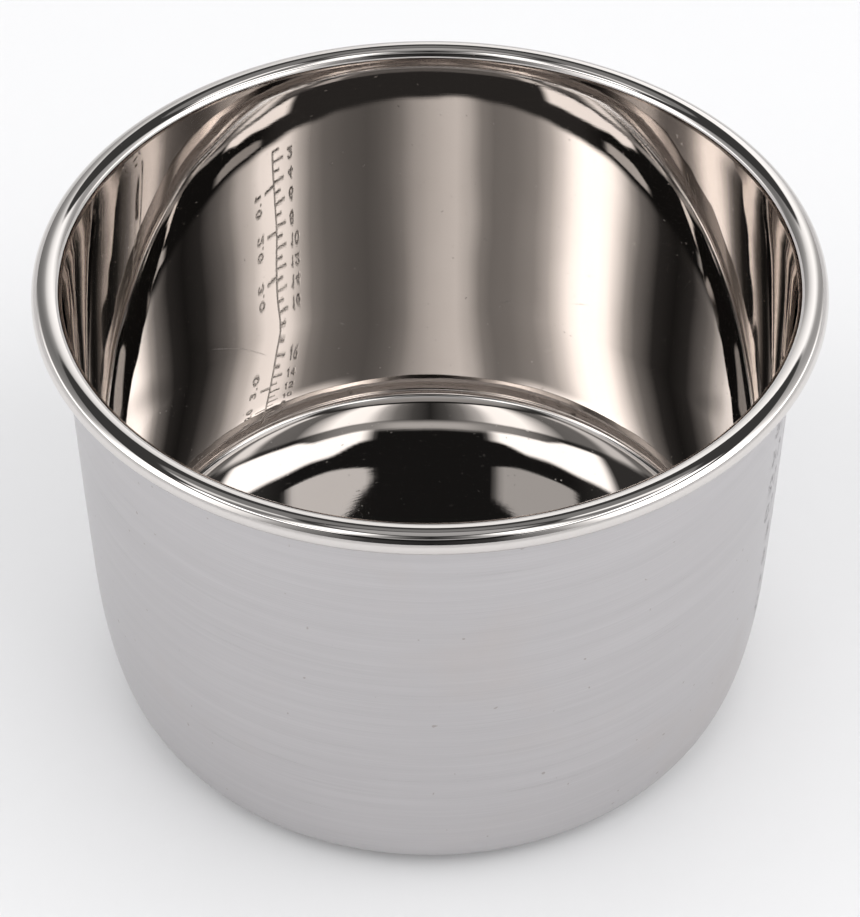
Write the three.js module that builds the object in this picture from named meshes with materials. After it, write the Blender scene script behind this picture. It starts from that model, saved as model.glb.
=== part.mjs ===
// Stainless steel inner pot with a rolled rim and a sandwich base.
// Millimetres, +Z up. The origin is the centre of the base's underside.

import * as THREE from 'three';

// Overall sizes
const potHeight = 163;            // underside of the base to the top of the rim
const rimDiameter = 240;          // outside of the rolled rim
const mouthDiameter = 221.8;      // inside of the wall, where the rim starts
const bellyDiameter = 225.4;      // inside of the wall at its widest
const bellyHeight = 48;           // of that widest place above the underside

// Drawn sheet of the shell
const shellSheet = 0.8;
const shoulderReach = 6.4;        // how far in the elliptical turn below the belly would take the wall
const heelRadius = 3.3;           // outside radius of the tight turn into the floor

// Rolled rim: the sheet's edge curled outwards and down, left open underneath
const rollHeight = 7.8;
const curlEnd = THREE.MathUtils.degToRad(-118);

// Sandwich base
const spreaderThickness = 4.5;
const capSheet = 0.8;
const capInset = 6.5;             // from the edge of the shell's flat floor in to the cap's wall
const capCornerRadius = 1.5;
const spreaderChamfer = 0.6;
const pieceGap = 0.3;             // between pieces that touch

// Facets
const turnSteps = 72;             // around the axis
const wallSteps = 7;
const shoulderSteps = 6;
const heelSteps = 3;
const curlSteps = 13;
const capCornerSteps = 3;
const bisections = 40;            // halvings that find where the shoulder meets the heel

// Heights and radii that follow from the sizes above
const spreaderBottom = capSheet + pieceGap;
const spreaderTop = spreaderBottom + spreaderThickness;
const shellBottom = spreaderTop + pieceGap;
const rimLevel = potHeight - rollHeight / 2;
const bellyRadius = bellyDiameter / 2 + shellSheet;
const mouthRadius = mouthDiameter / 2 + shellSheet;

const halfTurn = Math.PI;
const quarterTurn = Math.PI / 2;

// Direction out of the elliptical shoulder at one turn of its ellipse: 0 is level, a quarter is down.
function shoulderNormal(turn) {
  const drop = bellyHeight - shellBottom;
  return new THREE.Vector2(drop * Math.cos(turn), -shoulderReach * Math.sin(turn)).normalize();
}

// A point of the shoulder at one turn of its ellipse, set in from the outside by inset.
function shoulderPoint(turn, inset) {
  const point = new THREE.Vector2(
    bellyRadius - shoulderReach * (1 - Math.cos(turn)),
    bellyHeight - (bellyHeight - shellBottom) * Math.sin(turn));
  return point.addScaledVector(shoulderNormal(turn), -inset);
}

// The turn where the shoulder meets the heel: set in by the heel's radius, it is at the heel's centre.
function heelMeeting() {
  let above = 0;
  let below = quarterTurn;
  for (let i = 0; i < bisections; i++) {
    const middle = (above + below) / 2;
    if (shoulderPoint(middle, heelRadius).y > shellBottom + heelRadius) above = middle;
    else below = middle;
  }
  return above;
}

const shoulderEnd = heelMeeting();
const heelCentre = shoulderPoint(shoulderEnd, heelRadius);
const capRadius = heelCentre.x - capInset;

// Points on an arc or ellipse from one angle to another, first point left out.
function arc(centreR, centreZ, semiR, semiZ, from, to, steps) {
  return Array.from({ length: steps }, (_, i) => {
    const angle = from + (to - from) * (i + 1) / steps;
    return new THREE.Vector2(centreR + semiR * Math.cos(angle), centreZ + semiZ * Math.sin(angle));
  });
}

// Turns a closed profile of (radius, height) points round the Z axis.
function turned(profile) {
  const geometry = new THREE.LatheGeometry(profile, turnSteps);
  geometry.rotateX(quarterTurn);
  return geometry;
}

// One side of the drawn sheet from the floor's centre up to the rim, set in from the outside by inset.
function sheetSide(inset) {
  const points = [
    new THREE.Vector2(0, shellBottom + inset),
    new THREE.Vector2(heelCentre.x, shellBottom + inset),
  ];
  points.push(...arc(heelCentre.x, heelCentre.y, heelRadius - inset, heelRadius - inset,
    -quarterTurn, shoulderNormal(shoulderEnd).angle() - 2 * halfTurn, heelSteps));
  for (let i = 1; i <= shoulderSteps; i++) {
    points.push(shoulderPoint(shoulderEnd * (1 - i / shoulderSteps), inset));
  }
  for (let i = 1; i <= wallSteps; i++) {
    const rise = i / wallSteps;
    points.push(new THREE.Vector2(
      bellyRadius - inset + (mouthRadius - bellyRadius) * rise ** 1.5,
      bellyHeight + (rimLevel - bellyHeight) * rise));
  }
  return points;
}

// The curl of the rim, from the top of the wall over to its free edge, set in by inset.
function curlSide(inset) {
  const inner = mouthRadius - shellSheet;
  const semiR = (rimDiameter / 2 - inner) / 2;
  return arc(inner + semiR, rimLevel, semiR - inset, rollHeight / 2 - inset, halfTurn, curlEnd, curlSteps);
}

function potShell() {
  const upInside = [...sheetSide(shellSheet), ...curlSide(0)];
  const upOutside = [...sheetSide(0), ...curlSide(shellSheet)];
  return turned([...upOutside, ...upInside.reverse()]);
}

function heatSpreader() {
  const radius = capRadius - capSheet - pieceGap;
  return turned([
    new THREE.Vector2(0, spreaderBottom),
    new THREE.Vector2(radius - spreaderChamfer, spreaderBottom),
    new THREE.Vector2(radius, spreaderBottom + spreaderChamfer),
    new THREE.Vector2(radius, spreaderTop - spreaderChamfer),
    new THREE.Vector2(radius - spreaderChamfer, spreaderTop),
    new THREE.Vector2(0, spreaderTop),
  ]);
}

// A shallow dish that closes the base from below and round the edge of the heat spreader.
function baseCap() {
  const cornerRadius = capRadius - capCornerRadius;
  const innerCorner = capCornerRadius - capSheet;
  const outside = [
    new THREE.Vector2(0, 0),
    new THREE.Vector2(cornerRadius, 0),
    ...arc(cornerRadius, capCornerRadius, capCornerRadius, capCornerRadius, -quarterTurn, 0, capCornerSteps),
    new THREE.Vector2(capRadius, spreaderTop),
  ];
  const inside = [
    new THREE.Vector2(0, capSheet),
    new THREE.Vector2(cornerRadius, capSheet),
    ...arc(cornerRadius, capCornerRadius, innerCorner, innerCorner, -quarterTurn, 0, capCornerSteps),
    new THREE.Vector2(capRadius - capSheet, spreaderTop),
  ];
  return turned([...outside, ...inside.reverse()]);
}

function piece(name, geometry, color, roughness, metalness) {
  const mesh = new THREE.Mesh(geometry, new THREE.MeshStandardMaterial({ color, roughness, metalness }));
  mesh.name = name;
  return mesh;
}

const pot = new THREE.Group();
pot.add(piece('pot_shell', potShell(), 0xc9c6c8, 0.25, 1));
pot.add(piece('heat_spreader', heatSpreader(), 0xd2d3d4, 0.5, 1));
pot.add(piece('base_cap', baseCap(), 0xb9b8ba, 0.35, 1));

export default pot;
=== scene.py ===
"""Inner pot of a pressure cooker: a drawn steel shell on a sandwich base, in a plain pale studio.

Metres, +Z up. The origin is the centre of the base's underside, and -Y is the side of the viewer.
"""

from math import atan2, cos, pi, radians, sin

import bpy
import numpy as np
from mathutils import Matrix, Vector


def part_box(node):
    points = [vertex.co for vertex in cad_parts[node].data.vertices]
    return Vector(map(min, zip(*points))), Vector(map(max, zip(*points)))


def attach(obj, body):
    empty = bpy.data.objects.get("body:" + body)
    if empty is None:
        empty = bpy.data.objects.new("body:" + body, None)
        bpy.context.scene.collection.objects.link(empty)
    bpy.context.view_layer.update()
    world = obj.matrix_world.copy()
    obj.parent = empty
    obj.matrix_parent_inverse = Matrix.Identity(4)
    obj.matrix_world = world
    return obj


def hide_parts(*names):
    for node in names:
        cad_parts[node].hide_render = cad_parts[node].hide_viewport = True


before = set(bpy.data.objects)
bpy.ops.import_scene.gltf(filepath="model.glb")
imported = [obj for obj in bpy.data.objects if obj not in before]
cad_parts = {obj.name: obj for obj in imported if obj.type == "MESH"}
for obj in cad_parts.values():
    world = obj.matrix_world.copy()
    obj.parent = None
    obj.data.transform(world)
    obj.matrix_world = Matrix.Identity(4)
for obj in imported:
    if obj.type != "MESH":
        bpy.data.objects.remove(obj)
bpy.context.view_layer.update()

# ---------------------------------------------------------------------------------------------
# Heat spreader: a disc cut from rolled aluminium sheet, brazed between the shell and the cap.
# Only its bright edge can be seen, in the seam round the base.

spreader_low, spreader_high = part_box("heat_spreader")
spreader_chamfer = 0.0006
spreader_dull, spreader_bright = (0.70, 0.70, 0.71, 1), (0.80, 0.80, 0.81, 1)


class Wire:
    """One output in a material's node tree. Sums and products of wires add Math nodes."""

    def __init__(self, tree, socket=None):
        self.tree, self.socket = tree, socket

    def node(self, kind, settings=None, sockets=None, output=0):
        """Adds a node: its settings first, then numbers, colours or wires for its sockets."""
        node = self.tree.nodes.new(kind)
        for name, value in (settings or {}).items():
            setattr(node, name, value)
        for name, value in (sockets or {}).items():
            if isinstance(value, Wire):
                self.tree.links.new(value.socket, node.inputs[name])
            else:
                node.inputs[name].default_value = value
        return Wire(self.tree, node.outputs[output])

    def maths(self, operation, first, second=0.5):
        return self.node("ShaderNodeMath", {"operation": operation}, {0: first, 1: second})

    def __add__(self, other):
        return self.maths("ADD", self, other)

    def __sub__(self, other):
        return self.maths("SUBTRACT", self, other)

    def __rsub__(self, other):
        return self.maths("SUBTRACT", other, self)

    def __mul__(self, other):
        return self.maths("MULTIPLY", self, other)

    __radd__ = __add__
    __rmul__ = __mul__

    def mix(self, low, high):
        """Colour low where this wire is 0, colour high where it is 1."""
        return self.node("ShaderNodeMix", {"data_type": "RGBA"}, {0: self, 6: low, 7: high}, 2)

    def between(self, low, high):
        """0 below low, 1 above high, and a straight rise between them."""
        return self.node("ShaderNodeMapRange", {}, {0: self, 1: low, 2: high})


def metal(name, rough, **constants):
    """A new metal: its material, its shader node and a wire with the object's coordinates."""
    material = bpy.data.materials.new(name)
    material.use_nodes = True
    tree = material.node_tree
    shader = next(node for node in tree.nodes if node.type == "BSDF_PRINCIPLED")
    shader.inputs["Metallic"].default_value = 1.0
    shader.inputs["Roughness"].default_value = rough
    for key, value in constants.items():
        shader.inputs[key].default_value = value
    place = Wire(tree).node("ShaderNodeTexCoord", output="Object")
    return material, shader, place


def join(wire, shader, socket):
    """Leads a wire into one socket of a shader."""
    wire.tree.links.new(wire.socket, shader.inputs[socket])


def noise(place, scale, detail=2.0, rough=0.5):
    """Soft noise from 0 to 1 at a scale in waves per metre."""
    return place.node("ShaderNodeTexNoise", {},
                      {"Vector": place, "Scale": scale, "Detail": detail, "Roughness": rough}, "Fac")


def around(place):
    """Coordinates that follow the round wall: angle about the axis, distance from it, and height."""
    part = place.node("ShaderNodeSeparateXYZ", {}, {0: place})
    x, y, z = (Wire(part.tree, part.socket.node.outputs[i]) for i in range(3))
    turn = x.maths("ARCTAN2", y, x)
    out = x.maths("SQRT", x * x + y * y)
    return turn, out, z


def vector(x, y, z):
    """A point from three wires or numbers, of which y is always a wire."""
    return y.node("ShaderNodeCombineXYZ", {}, {0: x, 1: y, 2: z})


def stretched(place, x, y, z, turn=0.0):
    """Coordinates turned about Z and scaled along each axis, for patterns with a grain."""
    return place.node("ShaderNodeMapping", {},
                      {"Vector": place, "Rotation": (0, 0, turn), "Scale": (x, y, z)})


def bump(height, strength, distance):
    """Normals of a surface raised by the wire's height, times strength and a distance in metres."""
    return height.node("ShaderNodeBump", {},
                       {"Height": height, "Strength": strength, "Distance": distance})


def turned(name, line, columns):
    """One closed skin round the Z axis from a line of (radius, height) points.

    The first and last points lie on the axis. Each other point becomes a ring:
    x = radius cos(angle), y = radius sin(angle), at columns equal angles.
    """
    line = np.asarray(line, float)
    rings = line[1:-1]
    angle = np.arange(columns) * 2 * pi / columns
    ring = np.stack([np.outer(rings[:, 0], np.cos(angle)),
                     np.outer(rings[:, 0], np.sin(angle)),
                     np.repeat(rings[:, 1:], columns, 1)], -1).reshape(-1, 3)
    points = np.vstack([ring, [[0, 0, line[0, 1]], [0, 0, line[-1, 1]]]])
    row, column = np.meshgrid(np.arange(len(rings) - 1), np.arange(columns), indexing="ij")
    after = (column + 1) % columns
    quads = np.stack([row * columns + column, (row + 1) * columns + column,
                      (row + 1) * columns + after, row * columns + after], -1).reshape(-1, 4)
    start, beside = np.arange(columns), (np.arange(columns) + 1) % columns
    last = (len(rings) - 1) * columns
    first_fan = np.stack([np.full(columns, len(ring)), start, beside], -1)
    last_fan = np.stack([np.full(columns, len(ring) + 1), last + beside, last + start], -1)
    mesh = bpy.data.meshes.new(name)
    mesh.from_pydata(points.tolist(), [], quads.tolist() + first_fan.tolist() + last_fan.tolist())
    mesh.shade_smooth()
    mesh.set_sharp_from_angle(angle=radians(35))
    piece = bpy.data.objects.new(name, mesh)
    bpy.context.scene.collection.objects.link(piece)
    return piece


def rounded(corner_r, corner_z, radius, start, end, steps=6):
    """Points of an arc about a corner's centre, from one angle to another in degrees."""
    angle = np.radians(np.linspace(start, end, steps + 1))
    return np.stack([corner_r + radius * np.cos(angle), corner_z + radius * np.sin(angle)], -1)


def rolled_aluminium():
    """Fine straight lines along X, as the rolling mill leaves them."""
    material, shader, place = metal("rolled_aluminium", 0.42)
    rolling = noise(stretched(place, 30, 900, 900), 1.0, 3)
    join(rolling.mix(spreader_dull, spreader_bright), shader, "Base Color")
    join(rolling * 0.18 + 0.34, shader, "Roughness")
    join(bump(rolling, 0.25, 0.00002), shader, "Normal")
    return material


edge = spreader_high.x - spreader_chamfer
spreader_disc = turned("spreader_disc", np.vstack([
    [[0, spreader_high.z], [edge * 0.5, spreader_high.z]],
    rounded(edge, spreader_high.z - spreader_chamfer, spreader_chamfer, 90, 0),
    rounded(edge, spreader_low.z + spreader_chamfer, spreader_chamfer, 0, -90),
    [[edge * 0.5, spreader_low.z], [0, spreader_low.z]]]), 160)
spreader_disc.data.materials.append(rolled_aluminium())
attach(spreader_disc, "root")
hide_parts("heat_spreader")

# ---------------------------------------------------------------------------------------------
# Base cap: a shallow dish pressed from steel sheet that closes the sandwich from below.
# It is brazed on, and its underside is turned to a satin of fine rings on a lathe.

cap_low, cap_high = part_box("base_cap")
cap_sheet = 0.0008
cap_corner = 0.0015
cap_land = 0.0035          # flat ring outside the turned field
cap_field_depth = 0.00015  # the field is that much higher than the ring it stands on
cap_dark, cap_light = (0.50, 0.49, 0.48, 1), (0.62, 0.61, 0.60, 1)
cap_rubbed = (0.44, 0.42, 0.41, 1)


def turned_satin():
    """Rings: noise over the distance from the axis alone, with a little wobble round it."""
    material, shader, place = metal("turned_satin_steel", 0.35)
    turn, out, height = around(place)
    grooves = noise(vector(out * 5200, turn * 0.4, height * 5200), 1.0, 4, 0.6)
    bands = noise(vector(out * 420, turn * 0.25, 0.0), 1.0, 2)
    rubs = noise(place, 60, 4, 0.6).between(0.5, 0.72)
    scratches = noise(stretched(place, 90, 2600, 90, 0.6), 1.0, 2).between(0.66, 0.72)
    shade = (grooves * 0.6 + bands * 0.4).mix(cap_dark, cap_light)
    join((rubs * 0.5).mix(shade, cap_rubbed), shader, "Base Color")
    join(grooves * 0.16 + bands * 0.08 + rubs * 0.1 + 0.2 - scratches * 0.08, shader, "Roughness")
    join(bump(grooves + bands * 0.3 - scratches * 0.3, 0.35, 0.00003), shader, "Normal")
    return material


outer = cap_high.x - cap_corner
field = outer - cap_land
brim = cap_high.z - cap_sheet / 4      # where the dish's edge starts to round over
base_dish = turned("base_dish", np.vstack([
    [[0, cap_sheet], [outer * 0.6, cap_sheet], [outer - 0.001, cap_sheet]],
    rounded(outer, cap_corner, cap_corner - cap_sheet, -90, 0),
    rounded(cap_high.x - cap_sheet / 2, 0, cap_sheet / 2, 180, 0) * [1, 0.5] + [0, brim],
    rounded(outer, cap_corner, cap_corner, 0, -90, 8),
    [[field + 0.0004, 0], [field, cap_field_depth], [field * 0.7, cap_field_depth],
     [field * 0.3, cap_field_depth], [0, cap_field_depth]]]), 200)
base_dish.data.materials.append(turned_satin())
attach(base_dish, "root")
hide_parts("base_cap")

# ---------------------------------------------------------------------------------------------
# Pot shell: one stainless sheet, deep drawn, with its edge rolled outwards into the rim.
# Inside and rim are buffed to a mirror, the outside is satin, and the level scale is pressed
# into the wall, so that it stands out inside and is sunk outside.

shell_low, shell_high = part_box("pot_shell")
sheet = 0.0008
mouth_radius = 0.1117        # outside of the wall, where the rim starts
belly_radius = 0.1135        # outside of the wall at its widest
belly_height = 0.048
shoulder_reach = 0.0064      # how far in the shoulder's ellipse would take the wall
heel_radius = 0.0033
roll_height = 0.0078
curl_end = -118              # degrees, where the rolled edge stops, under the rim
rim_level = shell_high.z - roll_height / 2
curl_width = (shell_high.x - mouth_radius + sheet) / 2
shoulder_drop = belly_height - shell_low.z

scale_angle = radians(-11)
columns = 240
column_step = 2 * pi / columns
scale_columns = 20           # of those columns, centred on the scale, have a finer grid
scale_from, scale_to = 2.75, 3 + 16 / 18         # where that grid starts and ends along the sheet


def shoulder(turn, inset):
    """Points and outward directions of the ellipse: reach cos(turn) out, drop sin(turn) down."""
    across, down = shoulder_drop * np.cos(turn), -shoulder_reach * np.sin(turn)
    length = np.hypot(across, down)
    nr, nz = across / length, down / length
    r = belly_radius - shoulder_reach * (1 - np.cos(turn)) - inset * nr
    return r, belly_height - shoulder_drop * np.sin(turn) - inset * nz, nr, nz


turns = np.linspace(0, pi / 2, 20001)
over_heel = shoulder(turns, heel_radius)[1] - (shell_low.z + heel_radius)
shoulder_end = turns[np.argmax(over_heel <= 0)]
heel_r, heel_z, end_r, end_z = (float(v) for v in shoulder(shoulder_end, heel_radius))
heel_end = atan2(end_z, end_r)


def sheet_line(t, inset):
    """Radius, height and direction out through the satin side, along the sheet.

    t from 0 to 1 crosses the flat floor from its centre, 1 to 2 is the heel's arc, 2 to 3 the
    shoulder's ellipse, 3 to 4 the wall, which narrows by the height above the belly to the power
    1.5, and 4 to 5 the elliptical curl of the rim. inset is the depth below the satin side.
    """
    t = np.asarray(t, float)
    part = np.clip(t.astype(int), 0, 4)
    s = t - part
    zero, one = np.zeros_like(s), np.ones_like(s)
    floor = (heel_r * s, shell_low.z + inset + zero, zero, -one)
    angle = -pi / 2 + (heel_end + pi / 2) * s
    heel = (heel_r + (heel_radius - inset) * np.cos(angle),
            heel_z + (heel_radius - inset) * np.sin(angle), np.cos(angle), np.sin(angle))
    turn = shoulder(shoulder_end * (1 - s), inset)
    rise, narrowing = rim_level - belly_height, mouth_radius - belly_radius
    lean = 1.5 * narrowing * np.sqrt(abs(s)) / rise
    upright = 1 / np.hypot(1, lean)
    wall = (belly_radius - inset + narrowing * abs(s) ** 1.5, belly_height + rise * s,
            upright, -lean * upright)
    swing = pi + (radians(curl_end) - pi) * s
    wide, high = curl_width - (sheet - inset), roll_height / 2 - (sheet - inset)
    away = np.hypot(np.cos(swing) / wide, np.sin(swing) / high)
    curl = (mouth_radius - sheet + curl_width + wide * np.cos(swing), rim_level + high * np.sin(swing),
            -np.cos(swing) / wide / away, -np.sin(swing) / high / away)
    return tuple(np.select([part == k for k in range(5)], [run[i] for run in
                 (floor, heel, turn, wall, curl)]) for i in range(4))


def bow(cx, cy, rx, ry, start, end):
    """An arc of an ellipse as a run of points."""
    angle = np.radians(np.linspace(start, end, 13))
    return np.stack([cx + rx * np.cos(angle), cy + ry * np.sin(angle)], -1)


# Each numeral as strokes in a cell 1 wide and 1.6 high.
numerals = {
    "0": [bow(.5, .8, .5, .8, 0, 360)],
    "1": [[(.55, 0), (.55, 1.6), (.2, 1.25)]],
    "2": [np.vstack([bow(.5, 1.12, .46, .48, 170, -35), [(0, 0), (1, 0)]])],
    "3": [bow(.48, 1.2, .42, .4, 150, -90), bow(.48, .42, .48, .4, 90, -150)],
    "4": [[(.75, 0), (.75, 1.6), (0, .5), (1.05, .5)]],
    "6": [bow(.5, .48, .46, .48, 0, 360), np.vstack([bow(1.0, .5, .95, 1.1, 178, 105)])],
    "8": [bow(.5, 1.2, .38, .4, 0, 360), bow(.5, .42, .46, .42, 0, 360)],
    ".": [[(.5, 0), (.5, .05)]],
}

cup_step, cup_zero = 0.006, 0.035        # rise of one cup in the pot, and where its count starts
litre_step = cup_step * 4.227            # cups in a litre
cups = 18                                # marks, of which the last carries no number
numeral_size = 0.0037
long_tick, short_tick = 0.010, 0.006
cup_numbers_at, litre_numbers_at = 0.0155, -0.0185
stroke_reach, stroke_height = 0.0008, 0.0005


def write(text, x, y, upright):
    """Strokes of a number that starts at x, y and runs to the right, or upwards."""
    strokes = []
    for place, numeral in enumerate(text):
        for run in numerals[numeral]:
            run = (np.asarray(run, float) + [place * 1.35, -0.8]) * numeral_size
            if not upright:
                run = np.stack([-run[:, 1], run[:, 0]], -1)
            strokes.append(run + [x, y])
    return strokes


def scale_strokes():
    """The scale as seen from inside: x to the right along the wall, y up from the underside."""
    strokes = [[(0, cup_zero + cup_step), (0, cup_zero + cups * cup_step)]]
    for cup in range(1, cups + 1):
        y = cup_zero + cup * cup_step
        strokes.append([(0, y), (short_tick if cup % 2 else long_tick, y)])
        if cup % 2 == 0 and cup < cups:
            strokes += write(str(cup), cup_numbers_at, y, True)
    for litre in (1, 2, 3):
        y = cup_zero + litre * litre_step
        strokes.append([(-long_tick, y), (0, y)])
        strokes += write(f"{litre}.0", litre_numbers_at, y - 0.003, False)
    return strokes


def relief(x, y):
    """Height of the pressed marks: half a cosine wave over the distance to the nearest stroke."""
    nearest = np.full(x.shape, stroke_reach)
    for run in scale_strokes():
        run = np.asarray(run, float)
        for (ax, ay), (bx, by) in zip(run[:-1], run[1:]):
            dx, dy = bx - ax, by - ay
            along = np.clip(((x - ax) * dx + (y - ay) * dy) / (dx * dx + dy * dy), 0, 1)
            nearest = np.minimum(nearest, np.hypot(x - ax - along * dx, y - ay - along * dy))
    return stroke_height * (1 + np.cos(pi * nearest / stroke_reach)) / 2


def skin(t, inset, angle, facing, pressed=False):
    """Points and normals of one side of the sheet at every t and angle, as two grids.

    A point is (r cos(angle), r sin(angle), z) of the sheet's line, moved towards the inside by the
    height of the pressed marks, and its normal leans by their slopes. facing is 1 for the satin
    side and -1 for the polished one.
    """
    r, z, nr, nz = sheet_line(t, inset)
    lift = np.zeros((len(r), len(angle)))
    slope_x, slope_y = lift, lift
    if pressed:
        x = -np.outer(r, angle - scale_angle)
        lift = relief(x, np.repeat(z[:, None], len(angle), 1))
        gap = r.mean() * (angle[1] - angle[0])
        slope_x = -np.gradient(lift, axis=1) / gap
        slope_y = np.gradient(lift, axis=0) / np.gradient(np.cumsum(
            np.hypot(np.gradient(r), np.gradient(z))))[:, None]
    ca, sa = np.cos(angle)[None], np.sin(angle)[None]
    nr, nz, r, z = nr[:, None], nz[:, None], r[:, None], z[:, None]
    points = np.stack([(r - lift * nr) * ca, (r - lift * nr) * sa, z - lift * nz + 0 * ca], -1)
    out = np.stack([nr * ca, nr * sa, nz + 0 * ca], -1)
    right = np.stack([sa + 0 * r, -ca + 0 * r, 0 * r * ca], -1)
    up = np.stack([-nz * ca, -nz * sa, nr + 0 * ca], -1)
    normals = out + slope_x[..., None] * right + slope_y[..., None] * up
    normals *= facing / np.linalg.norm(normals, axis=-1, keepdims=True)
    return points, normals


def steps(start, end, count):
    """Equal steps from start to end, without start itself."""
    return np.linspace(start, end, count + 1)[1:]


stations = np.concatenate([[.3, .6, .8, .92, 1], steps(1, 2, 9), steps(2, 3, 12),
                           steps(3, 4, 18), steps(4, 5, 26)])
angles = scale_angle + (np.arange(columns) - scale_columns / 2) * column_step
first_row = int(np.argmin(abs(stations - scale_from)))
last_row = int(np.argmin(abs(stations - scale_to)))


def shell_mesh():
    """Polished side from the centre out and up, the rolled edge's round end, satin side back.

    The rows of points run on in that order, with a finer grid let in on both sides at the scale.
    """
    polished, polished_normals = skin(stations, sheet, angles, -1)
    satin, satin_normals = skin(stations[::-1], 0, angles, 1)
    r, z, nr, nz = (v[-1] for v in sheet_line(stations[-2:], sheet / 2))
    half = np.radians([-60, -30, 0, 30, 60])
    end_line = np.stack([r - sheet / 2 * (np.cos(half) * nz + np.sin(half) * nr),
                         z + sheet / 2 * (np.cos(half) * nr - np.sin(half) * nz)], -1)
    ca, sa = np.cos(angles), np.sin(angles)
    end_points = np.stack([np.outer(end_line[:, 0], ca), np.outer(end_line[:, 0], sa),
                           np.repeat(end_line[:, 1:], columns, 1)], -1)
    out = (end_line - [r, z]) / (sheet / 2)
    end_normals = np.stack([np.outer(out[:, 0], ca), np.outer(out[:, 0], sa),
                            np.repeat(out[:, 1:], columns, 1)], -1)
    points = np.concatenate([polished, end_points, satin])
    normals = np.concatenate([polished_normals, end_normals, satin_normals])
    rows = len(points)
    points, normals = points.reshape(-1, 3), normals.reshape(-1, 3)

    row, column = np.meshgrid(np.arange(rows - 1), np.arange(columns), indexing="ij")
    after = (column + 1) % columns
    # Seen from the polished side, a quad runs up the wall and then towards larger angles.
    cells = np.stack([row * columns + column, row * columns + after,
                      (row + 1) * columns + after, (row + 1) * columns + column], -1)[..., ::-1]
    kept = np.ones((rows - 1, columns), bool)
    renamed = np.arange(len(points))
    added, inserted = [], {}
    count = len(points)
    run_up = stations[first_row:last_row + 1]
    patches = [(first_row, run_up, sheet, -1, 16, 8),
               (rows - 1 - last_row, run_up[::-1], 0, 1, 8, 4)]
    for low, coarse_t, inset, facing, fine_rows, fine_columns in patches:
        high = low + len(coarse_t) - 1
        t = np.interp(np.arange((high - low) * fine_rows + 1) / fine_rows,
                      np.arange(high - low + 1), coarse_t)
        angle = angles[0] + np.arange(scale_columns * fine_columns + 1) * column_step / fine_columns
        fine_points, fine_normals = skin(t, inset, angle, facing, True)
        number = count + np.arange(fine_points[..., 0].size).reshape(fine_points.shape[:2])
        points = np.concatenate([points, fine_points.reshape(-1, 3)])
        normals = np.concatenate([normals, fine_normals.reshape(-1, 3)])
        count = len(points)
        added.append(np.stack([number[:-1, :-1], number[:-1, 1:], number[1:, 1:], number[1:, :-1]],
                              -1)[..., ::-1].reshape(-1, 4))
        kept[low:high, :scale_columns] = False
        coarse = (np.arange(low, high + 1)[:, None] * columns + np.arange(scale_columns + 1)[None])
        renamed[coarse] = number[::fine_rows, ::fine_columns]
        for edge, step in ((number[0], fine_columns), (number[-1], fine_columns),
                           (number[:, 0], fine_rows), (number[:, -1], fine_rows)):
            for k in range(0, len(edge) - 1, step):
                run = edge[k:k + step + 1].tolist()
                inserted[run[0], run[-1]], inserted[run[-1], run[0]] = run[1:-1], run[-2:0:-1]
    quads = renamed[cells[kept]].tolist()
    faces = []
    for quad in quads:
        if any((a, b) in inserted for a, b in zip(quad, quad[1:] + quad[:1])):
            quad = [v for a, b in zip(quad, quad[1:] + quad[:1])
                    for v in [a] + inserted.get((a, b), [])]
        faces.append(quad)
    faces += np.concatenate(added).tolist()
    points = np.vstack([points, [[0, 0, shell_low.z + sheet], [0, 0, shell_low.z]]])
    normals = np.vstack([normals, [[0, 0, 1], [0, 0, -1]]])
    ring, beside = np.arange(columns), (np.arange(columns) + 1) % columns
    last = (rows - 1) * columns
    faces += np.stack([np.full(columns, count), ring, beside], -1).tolist()
    faces += np.stack([np.full(columns, count + 1), last + beside, last + ring], -1).tolist()

    used = np.unique(np.concatenate([np.asarray(face) for face in faces]))
    number = np.zeros(len(points), int)
    number[used] = np.arange(len(used))
    faces = [number[face].tolist() for face in faces]
    mesh = bpy.data.meshes.new("pot_body")
    mesh.from_pydata(points[used].tolist(), [], faces)
    mesh.shade_smooth()
    mesh.normals_split_custom_set_from_vertices(normals[used].tolist())
    return mesh


polish_clear, polish_hazy = (0.72, 0.69, 0.668, 1), (0.67, 0.635, 0.61, 1)
satin_dark, satin_light = (0.475, 0.46, 0.466, 1), (0.58, 0.563, 0.57, 1)
satin_rubbed, pin_hole = (0.54, 0.50, 0.485, 1), (0.30, 0.26, 0.24, 1)


def mirror_polish():
    """Buffed steel: faint waves from drawing, hair-fine rings from buffing, and dull flecks."""
    material, shader, place = metal("mirror_polished_steel", 0.05)
    turn, out, height = around(place)
    rings = noise(vector(0.0, out * 900, height * 1500), 1.0, 3, 0.6)
    haze = noise(place, 18, 3, 0.6)
    flecks = noise(place, 700, 0).between(0.83, 0.86)
    join((haze * 0.7).mix(polish_clear, polish_hazy), shader, "Base Color")
    join(rings * 0.012 + haze * 0.012 + flecks * 0.2 + 0.006, shader, "Roughness")
    waves = noise(stretched(place, 22, 22, 16), 1.0, 1)
    join(bump(waves * 6.0 + rings * 0.03, 1.0, 0.00004), shader, "Normal")
    return material


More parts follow.
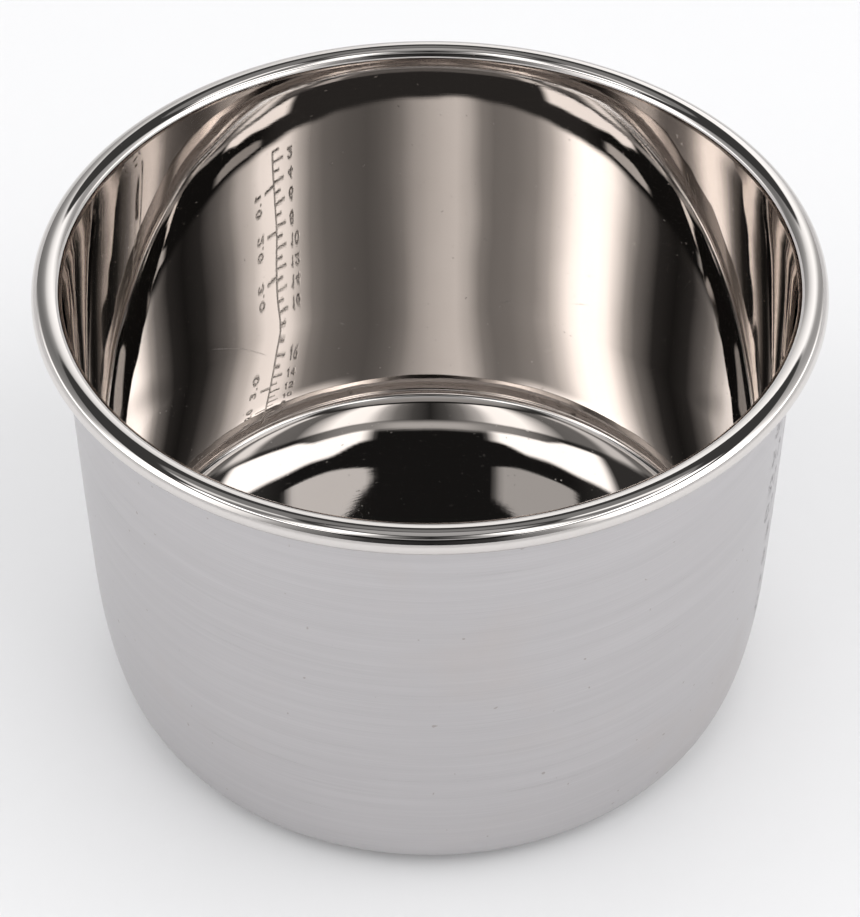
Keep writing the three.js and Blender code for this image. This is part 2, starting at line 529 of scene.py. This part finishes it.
def satin_brushed():
    """Belt-ground steel: fine level lines round the wall, with softer bands, rubs and pin holes."""
    material, shader, place = metal("satin_brushed_steel", 0.34)
    lines = noise(stretched(place, 25, 25, 5200), 1.0, 4, 0.65)
    bands = noise(stretched(place, 9, 9, 260), 1.0, 3, 0.55)
    haze = noise(place, 14, 4, 0.6)
    rubs = haze.between(0.56, 0.7)
    pins = noise(place, 480, 0).between(0.845, 0.87)
    shade = (lines * 0.65 + bands * 0.35).between(0.3, 0.7)
    shade = shade.mix(satin_dark, satin_light)
    shade = (rubs * 0.4).mix(shade, satin_rubbed)
    join((pins * 0.6).mix(shade, pin_hole), shader, "Base Color")
    join(lines * 0.14 + bands * 0.08 + rubs * 0.06 + 0.2, shader, "Roughness")
    join(bump(lines + bands * 0.4 - pins * 2.0, 0.22, 0.00003), shader, "Normal")
    return material


pot_body = bpy.data.objects.new("pot_body", shell_mesh())
bpy.context.scene.collection.objects.link(pot_body)
pot_body.data.materials.append(mirror_polish())
pot_body.data.materials.append(satin_brushed())

# Every face that looks out or down, below the rim, is satin, and all the others are polished.
centres = np.empty(len(pot_body.data.polygons) * 3)
facing = np.empty(len(pot_body.data.polygons) * 3)
pot_body.data.polygons.foreach_get("center", centres)
pot_body.data.polygons.foreach_get("normal", facing)
centres, facing = centres.reshape(-1, 3), facing.reshape(-1, 3)
reach = np.hypot(centres[:, 0], centres[:, 1])
outwards = (facing[:, :2] * centres[:, :2]).sum(1) / np.maximum(reach, 1e-6)
below_rim = centres[:, 2] < rim_level - roll_height / 2 + 0.0002
satin = (below_rim & (outwards > 0.02)) | ((facing[:, 2] < -0.3) & (centres[:, 2] < belly_height))
satin &= ~((reach > mouth_radius + 0.001) & (centres[:, 2] > rim_level - roll_height))
pot_body.data.polygons.foreach_set("material_index", satin.astype(np.int32))
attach(pot_body, "root")
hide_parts("pot_shell")

# ---------------------------------------------------------------------------------------------
# Studio: a round pale floor that sweeps up into a low wall, soft lamps above it, and a tent of
# lit and dark cloth over the pot. The polished steel mirrors the tent; the lamps light the floor.

view_distance, view_height, view_tilt, view_lens = 0.6839, 0.0769, 44.07, 86.45
floor_reach, sweep_radius, sweep_top, floor_columns = 1.6, 0.9, 1.3, 128
floor_white = (0.80, 0.80, 0.805)
world_grey = (0.72, 0.72, 0.725)
tent_radius = 1.7


def studio_floor():
    """A disc that turns up at its edge by a quarter circle and ends as a low round wall."""
    line = np.vstack([[[0, 0], [0.3, 0], [0.8, 0]],
                      rounded(floor_reach, sweep_radius, sweep_radius, -90, 0, 24),
                      [[floor_reach + sweep_radius, sweep_top]]])
    angle = np.arange(floor_columns) * 2 * pi / floor_columns
    points = np.stack([np.outer(line[:, 0], np.cos(angle)), np.outer(line[:, 0], np.sin(angle)),
                       np.repeat(line[:, 1:], floor_columns, 1)], -1).reshape(-1, 3)
    number = np.arange(len(points)).reshape(len(line), floor_columns)
    after = np.roll(number, -1, 1)
    quads = np.stack([number[:-1], number[1:], after[1:], after[:-1]], -1).reshape(-1, 4)
    mesh = bpy.data.meshes.new("studio_floor")
    mesh.from_pydata(points.tolist(), [], quads.tolist())
    mesh.shade_smooth()
    floor = bpy.data.objects.new("studio_floor", mesh)
    bpy.context.scene.collection.objects.link(floor)
    paint = bpy.data.materials.new("studio_white")
    paint.use_nodes = True
    shader = next(node for node in paint.node_tree.nodes if node.type == "BSDF_PRINCIPLED")
    shader.inputs["Base Color"].default_value = floor_white + (1,)
    shader.inputs["Roughness"].default_value = 0.9
    shader.inputs["Specular IOR Level"].default_value = 0.0
    mesh.materials.append(paint)


def softbox(name, azimuth, elevation, distance, width, height, glow):
    """A lamp aimed at the pot. Azimuth 0 is the viewer's side and 90 is +X."""
    light = bpy.data.lights.new(name, "AREA")
    light.shape, light.size, light.size_y = "RECTANGLE", width, height
    light.energy = glow * pi * width * height
    lamp = bpy.data.objects.new(name, light)
    a, e = radians(azimuth), radians(elevation)
    lamp.location = (distance * sin(a) * cos(e), -distance * cos(a) * cos(e), distance * sin(e))
    lamp.rotation_euler = (pi / 2 - e, 0, a)
    lamp.visible_camera = False
    lamp.visible_glossy = False
    bpy.context.scene.collection.objects.link(lamp)


def rise(value, low, high):
    """0 below low, 1 above high, and a smooth step between them."""
    step = np.clip((value - low) / (high - low), 0, 1)
    return step * step * (3 - 2 * step)


def hump(value, low, high, soft):
    """1 between low and high and 0 beyond them, with smooth steps of twice soft."""
    return rise(value, low - soft, low + soft) - rise(value, high - soft, high + soft)


panel_turns = [0, 16, 24, 32, 40, 48, 56, 64, 76, 84,
               92, 100, 110, 125, 138, 146, 154, 162, 170, 180]
panel_bright = [.01, .04, .20, .36, .9, 2.0, 3.1, 3.6, 3.6, 3.0,
                1.9, 1.1, .6, .4, .35, .5, 1.1, 1.4, 1.3, 1.1]
panel_dim = [.01, .04, .16, .27, .5, 1.1, 1.5, 2.2, 2.4, 2.0,
             1.1, .5, .3, .2, .16, .2, .28, .45, .8, 1.1]


def tent_glow(turn, right, height):
    """Radiance of the tent at degrees of turn from the viewer's side and of elevation.

    Panels: one on each side and one behind, up to 46 degrees, dark between them and in front. A
    faint ledge, a narrow strip and one more panel follow above them, and a pale skirt closes the
    sides below. right is true on the viewer's right, which is the brighter side.
    """
    panels = np.where(right, np.interp(turn, panel_turns, panel_bright),
                      np.interp(turn, panel_turns, panel_dim)) * (1 - rise(height, 44.6, 46.2))
    ledge = np.where(right, 1.0 * hump(turn, 23, 58, 3), 0.65 * hump(turn, 27, 62, 3))
    ledge = ledge * hump(height, 46.6, 49.0 - 0.003 * (turn - 43) ** 2, 0.12)
    strip_low = 52.0 + 1.8 * (1 - rise(turn, 28, 42)) - 1.0 * rise(turn, 48, 66)
    strip = 2.35 * hump(turn, 27, np.where(right, 98, 80), 4)
    strip = strip * hump(height, strip_low, 56.6 + 1.4 * rise(turn, 50, 62), 0.45)
    top = np.interp(turn, [0, 8, 16, 24, 31, 46, 54, 64], [.02, .1, .3, .85, 2.0, 2.1, 1.1, .2])
    top = top * hump(height, 59.7, 75, 0.6)
    top += np.where(right, 1.2, 0.8) * hump(turn, 90, 110, 6) * hump(height, 59.5, 75, 1.5)
    haze = 0.015 + 0.04 * rise(turn, 55, 80) + 0.45 * rise(height, 77, 81)
    haze += 0.45 * hump(height, 56.4, 59.4, 0.7) * (1 - rise(turn, 35, 65))
    haze += 0.3 * hump(height, 56.0, 58.5, 0.7) * (1 - rise(turn, 12, 28))
    skirt = 1.3 * (1 - rise(height, 24, 29)) * hump(turn, 62, 125, 12)
    return panels + ledge + strip + top + haze + skirt


def tent():
    """A dome over the pot: x = r sin(turn) cos(height), y = -r cos(turn) cos(height), z = r sin(height)."""
    degrees, height = np.meshgrid(np.arange(0, 360, 2.0), np.linspace(20, 90, 561))
    turn, up = np.radians(degrees), np.radians(height)
    points = tent_radius * np.stack([np.sin(turn) * np.cos(up), -np.cos(turn) * np.cos(up),
                                     np.sin(up)], -1)
    number = np.arange(turn.size).reshape(turn.shape)
    after = np.roll(number, -1, 1)
    quads = np.stack([number[:-1], number[1:], after[1:], after[:-1]], -1)
    mesh = bpy.data.meshes.new("tent")
    mesh.from_pydata(points.reshape(-1, 3).tolist(), [], quads.reshape(-1, 4).tolist())
    glow = mesh.attributes.new("glow", "FLOAT", "POINT")
    glow.data.foreach_set("value", tent_glow(180 - abs(180 - degrees), degrees < 180, height).ravel())
    dome = bpy.data.objects.new("tent", mesh)
    bpy.context.scene.collection.objects.link(dome)
    cloth = bpy.data.materials.new("tent_cloth")
    cloth.use_nodes = True
    shader = next(node for node in cloth.node_tree.nodes if node.type == "BSDF_PRINCIPLED")
    shader.inputs["Base Color"].default_value = (0, 0, 0, 1)
    shader.inputs["Specular IOR Level"].default_value = 0.0
    shader.inputs["Emission Strength"].default_value = 1.0
    lit = Wire(cloth.node_tree).node("ShaderNodeAttribute", {"attribute_name": "glow"}, {}, "Fac")
    join(lit, shader, "Emission Color")
    cloth.cycles.emission_sampling = "NONE"
    mesh.materials.append(cloth)
    dome.visible_camera = dome.visible_diffuse = dome.visible_shadow = False


studio_floor()
tent()
softbox("lamp_left", -65, 48, 1.9, 1.7, 1.3, 1.6)
softbox("lamp_right", 65, 48, 1.9, 1.7, 1.3, 2.1)
softbox("lamp_behind", 180, 50, 1.9, 1.7, 1.0, 1.1)

world = bpy.data.worlds.new("studio")
world.use_nodes = True
background = next(node for node in world.node_tree.nodes if node.type == "BACKGROUND")
background.inputs["Color"].default_value = world_grey + (1,)
background.inputs["Strength"].default_value = 1.0
scene = bpy.context.scene
scene.world = world
scene.view_settings.view_transform = "Standard"
scene.cycles.glossy_bounces = 12

camera = bpy.data.objects.new("viewer", bpy.data.cameras.new("viewer"))
tilt = radians(view_tilt)
camera.location = (0, -view_distance * cos(tilt), view_height + view_distance * sin(tilt))
camera.rotation_euler = (pi / 2 - tilt, 0, 0)
camera.data.sensor_fit = "HORIZONTAL"
camera.data.lens = view_lens
camera.data.clip_start = 0.01
scene.collection.objects.link(camera)
scene.camera = camera
